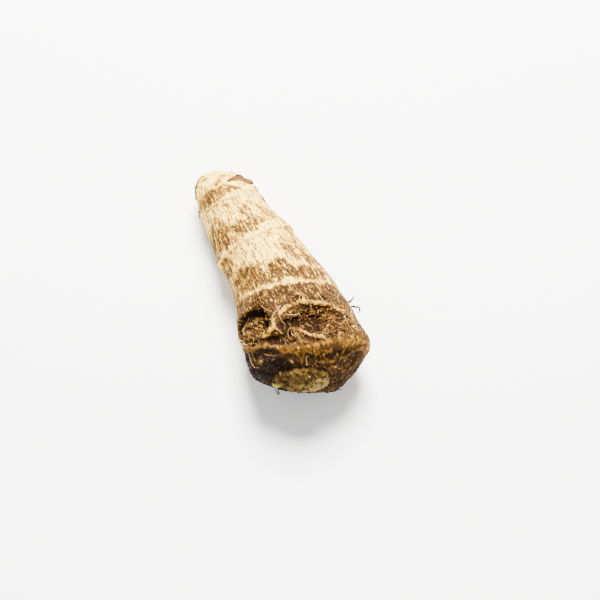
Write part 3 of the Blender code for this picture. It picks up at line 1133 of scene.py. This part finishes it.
root_tree, nodes, ROOT_INPUTS, given = new_tree(
    "rootlets",
    {
        "Routes": "Geometry",
        "Step": "Float",
        "Wander": "Float",
        "Wander Size": "Float",
        "Finish": "Material",
    },
)
roots = nodes.add("GeometryNodeMeshToCurve", {}, {"Mesh": given["Routes"]})
roots = nodes.add("GeometryNodeCurveSplineType", {"spline_type": "CATMULL_ROM"}, {"Curve": roots})
inputs = {"Curve": roots, "Length": given["Step"]}
roots = nodes.add("GeometryNodeResampleCurve", {"mode": "LENGTH"}, inputs)
here = nodes.add("GeometryNodeInputPosition", {}, ())
sway = nodes.noise(here, given["Wander Size"], 2.0, output="Color")
sway = nodes.vectors("SCALE", nodes.vectors("SUBTRACT", sway, (0.5, 0.5, 0.5)), given["Wander"])
swayed = nodes.vectors("MAXIMUM", nodes.vectors("ADD", here, sway), ABOVE_TABLE)
roots = nodes.add("GeometryNodeSetPosition", {}, {"Geometry": roots, "Position": swayed})
part_way = nodes.add("GeometryNodeSplineParameter", {}, ())
knots = nodes.noise(here, 1100.0, 1.0)
radius = kept("girth", "FLOAT") * (0.2 + knots * 1.6) * (1.0 - part_way.between(0.4, 1.2) * 0.6)
roots = keep(roots, "part_way", part_way)
outline = thread_outline(ROOT_SIDES, 1.0)
roots = nodes.add(
    "GeometryNodeCurveToMesh",
    {},
    {"Curve": roots, "Profile Curve": outline, "Scale": radius, "Fill Caps": True},
)
finish_threads(root_tree, roots)

DARK_ROOTS = (
    ((35.2, 72, 0.0), (35.9, 77, 1.0), (36.8, 79, 2.3), (37.5, 78, 3.3), (37.9, 77, 3.9)),
    ((36.2, 77, 1.3), (36.3, 81, 1.7), (37.0, 83, 1.8)),
    (
        (32.0, 70, 0.0),
        (31.9, 76, 1.6),
        (31.5, 80, 3.2),
        (30.4, 81, 3.4),
        (29.0, 80, 2.4),
        (28.0, 78, 1.7),
    ),
    ((31.5, 80, 3.2), (32.1, 83, 3.9)),
    ((3.2, -96, 0.2), (3.2, -106, 1.0), (3.8, -114, 1.8), (5.2, -118, 1.7), (6.4, -119, 1.0)),
    ((1.2, -140, 0.2), (0.9, 176, 0.7), (1.4, 150, 0.8), (2.0, 140, 1.8)),
    ((46.0, 100, 0.0), (48.0, 108, 1.6), (51.0, 112, 2.2), (54.0, 110, 0.8)),
    ((60.0, -120, 0.0), (58.0, -128, 1.8), (54.0, -130, 2.2), (51.0, -126, 0.6)),
    ((24.0, 96, 0.0), (23.0, 101, 2.2), (20.0, 104, 3.4), (17.5, 101, 2.6)),
    ((22.0, -118, 0.0), (24.0, -124, 2.2), (28.0, -127, 2.6), (31.0, -124, 0.8)),
)
DARK_GIRTHS = (0.50, 0.34, 0.46, 0.32, 0.32, 0.38, 0.26, 0.26, 0.32, 0.32)
PALE_ROOTS = (
    ((28.4, -82, 0.2), (26.4, -74, 0.9), (24.2, -66, 1.0), (22.2, -58, 0.6)),
    ((27.4, -84, 0.2), (25.2, -75, 0.8), (23.2, -67, 0.9), (21.6, -60, 0.5)),
    ((36.5, -27, 0.1), (33.4, -23, 0.5), (31.0, -19, 0.9), (29.4, -17, 1.2)),
    ((33.6, -10, 0.2), (31.6, -14, 0.7), (29.6, -18, 0.9), (28.0, -21, 0.9)),
    ((32.4, -13, 0.2), (29.4, -14, 1.6), (26.8, -15, 2.2), (24.0, -15, 1.6), (21.6, -18, 0.6)),
    ((22.6, -11, 0.3), (20.9, -15, 1.2), (18.8, -17, 1.3), (17.2, -15, 0.8), (17.6, -11, 0.4)),
    ((28.6, -9, 0.2), (27.6, -5, 1.0), (27.9, 0, 0.8), (29.0, 3, 0.3)),
    ((20.6, -12, 0.2), (19.0, -13, 1.1), (17.6, -10, 0.9), (18.6, -7, 0.4)),
    ((16.0, -48, 0.2), (13.8, -42, 0.9), (12.6, -36, 0.5)),
    ((6.2, -16, 0.2), (7.4, -14, 0.6), (8.6, -11, 0.5), (8.4, -8, 0.2)),
    ((20.4, -64, 0.3), (17.0, -66, 0.8), (13.0, -64, 0.8), (10.0, -58, 0.3)),
    ((24.0, 58, 0.0), (27.6, 62, 0.9), (32.0, 64, 1.2), (37.0, 66, 0.6)),
    ((34.0, 44, 0.1), (36.4, 52, 0.8), (39.6, 57, 0.9), (43.0, 60, 0.4)),
    ((34.6, -40, 0.2), (36.4, -34, 0.6), (38.4, -30, 0.5), (40.4, -24, 0.2)),
)
PALE_GIRTHS = (0.20, 0.16, 0.12, 0.14, 0.13, 0.12, 0.11, 0.12, 0.10, 0.11, 0.12, 0.12, 0.11, 0.10)
grown(
    "dark_rootlets",
    path_mesh("dark_routes", DARK_ROOTS, DARK_GIRTHS),
    root_tree,
    ROOT_INPUTS,
    {
        "Step": 0.0006,
        "Wander": 0.0017,
        "Wander Size": 420.0,
        "Finish": thread_finish("dark_root", (0.030, 0.015, 0.007), (0.009, 0.005, 0.003)),
    },
)
grown(
    "pale_rootlets",
    path_mesh("pale_routes", PALE_ROOTS, PALE_GIRTHS),
    root_tree,
    ROOT_INPUTS,
    {
        "Step": 0.0006,
        "Wander": 0.0022,
        "Wander Size": 220.0,
        "Finish": thread_finish("pale_root", (0.52, 0.33, 0.10), (0.20, 0.10, 0.028)),
    },
)

# Sheath scraps: dry torn flakes of old leaf base that still cling to the thin end and
# to the leaf scars, each held along one edge and curling away from the skin.
FLAKES = (
    ((106.5, -80), (110.5, -66), (113.6, -54), (116.0, -42), 1.2, 0.5),
    ((106.6, 10), (107.2, 26), (106.6, 42), (104.6, 60), 1.7, 1.0),
    ((108.2, 30), (108.0, 42), (106.6, 54), (104.8, 66), 1.4, 1.7),
    ((101.4, 56), (102.0, 61), (101.8, 66), (100.8, 71), 1.5, 0.8),
    ((95.0, 62), (95.6, 66), (95.4, 70), (94.6, 74), 1.3, 0.7),
    ((99.0, -96), (99.6, -88), (99.8, -80), (99.4, -72), 1.7, 0.6),
    ((74.2, -104), (74.8, -96), (75.0, -86), (74.6, -76), 1.6, 0.5),
    ((104.0, 120), (105.6, 136), (105.8, 152), (104.6, 168), 2.4, 1.0),
    ((98.4, 150), (99.2, 162), (99.4, 176), (98.6, 188), 2.2, 0.8),
    ((74.0, 108), (74.8, 118), (75.0, 130), (74.2, 140), 2.0, 0.6),
    ((45.6, 120), (46.2, 128), (46.4, 138), (45.8, 148), 1.8, 0.5),
)
FLAKE_COLUMNS = 22
FLAKE_ROWS = 8
FLAKE_THICKNESS = 0.28
FLAKE_BOW = 1.6
flake_draw = np.random.default_rng(5)
flake_points, flake_faces = [], []
for *hinge, reach, lift in FLAKES:
    share = np.linspace(0, 3, FLAKE_COLUMNS)
    places = np.interp(share, range(4), [a for a, _ in hinge])
    turns = np.interp(share, range(4), [t for _, t in hinge])
    tears = np.convolve(flake_draw.random(FLAKE_COLUMNS + 2), (0.25, 0.5, 0.25), "valid")
    frays = reach * (0.45 + 1.1 * tears) * np.sin(math.pi * (share + 0.12) / 3.24) ** 0.6
    curls = lift * (0.6 + 0.6 * np.interp(share, range(4), flake_draw.random(4)))
    first = len(flake_points)
    for row in range(FLAKE_ROWS):
        out = row / (FLAKE_ROWS - 1)
        outer = places + frays * out
        rises = 0.05 + curls * out**FLAKE_BOW
        flake_points += on_skin(zip(outer, (turns + 180) % 360 - 180, rises))
    for row in range(FLAKE_ROWS - 1):
        for column in range(FLAKE_COLUMNS - 1):
            corner = first + row * FLAKE_COLUMNS + column
            above = corner + FLAKE_COLUMNS
            flake_faces.append((corner, corner + 1, above + 1, above))
flake_mesh = bpy.data.meshes.new("sheath_scraps")
flake_mesh.from_pydata(flake_points, [], flake_faces)
flake_mesh.shade_smooth()
scraps = bpy.data.objects.new("sheath_scraps", flake_mesh)
bpy.context.scene.collection.objects.link(scraps)
thickness = scraps.modifiers.new("thickness", "SOLIDIFY")
thickness.thickness = FLAKE_THICKNESS * MM
thickness.offset = 0.0

finish = Finish("dry_sheath")
place = finish.add("ShaderNodeTexCoord", {}, (), "Object")
veins = finish.noise(place, 300.0, 3.0)
spots = finish.noise(place, 900.0, 2.0)
SHEATH_TAN = (0.14, 0.060, 0.011)
SHEATH_BROWN = (0.038, 0.016, 0.0045)
SHEATH_PALE = (0.36, 0.185, 0.030)
dry = finish.blend((veins + (spots - 0.5) * 0.8).between(0.38, 0.62), SHEATH_TAN, SHEATH_BROWN)
dry = finish.blend(spots.between(0.58, 0.72), dry, SHEATH_PALE)
finish.set("Base Color", dry)
finish.set("Roughness", 0.55 + veins * 0.3)
finish.set("Normal", finish.bump(veins + spots * 0.6, 0.0004))
finish.set("Specular IOR Level", 0.15)
flake_mesh.materials.append(finish.material)
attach(scraps, "root")
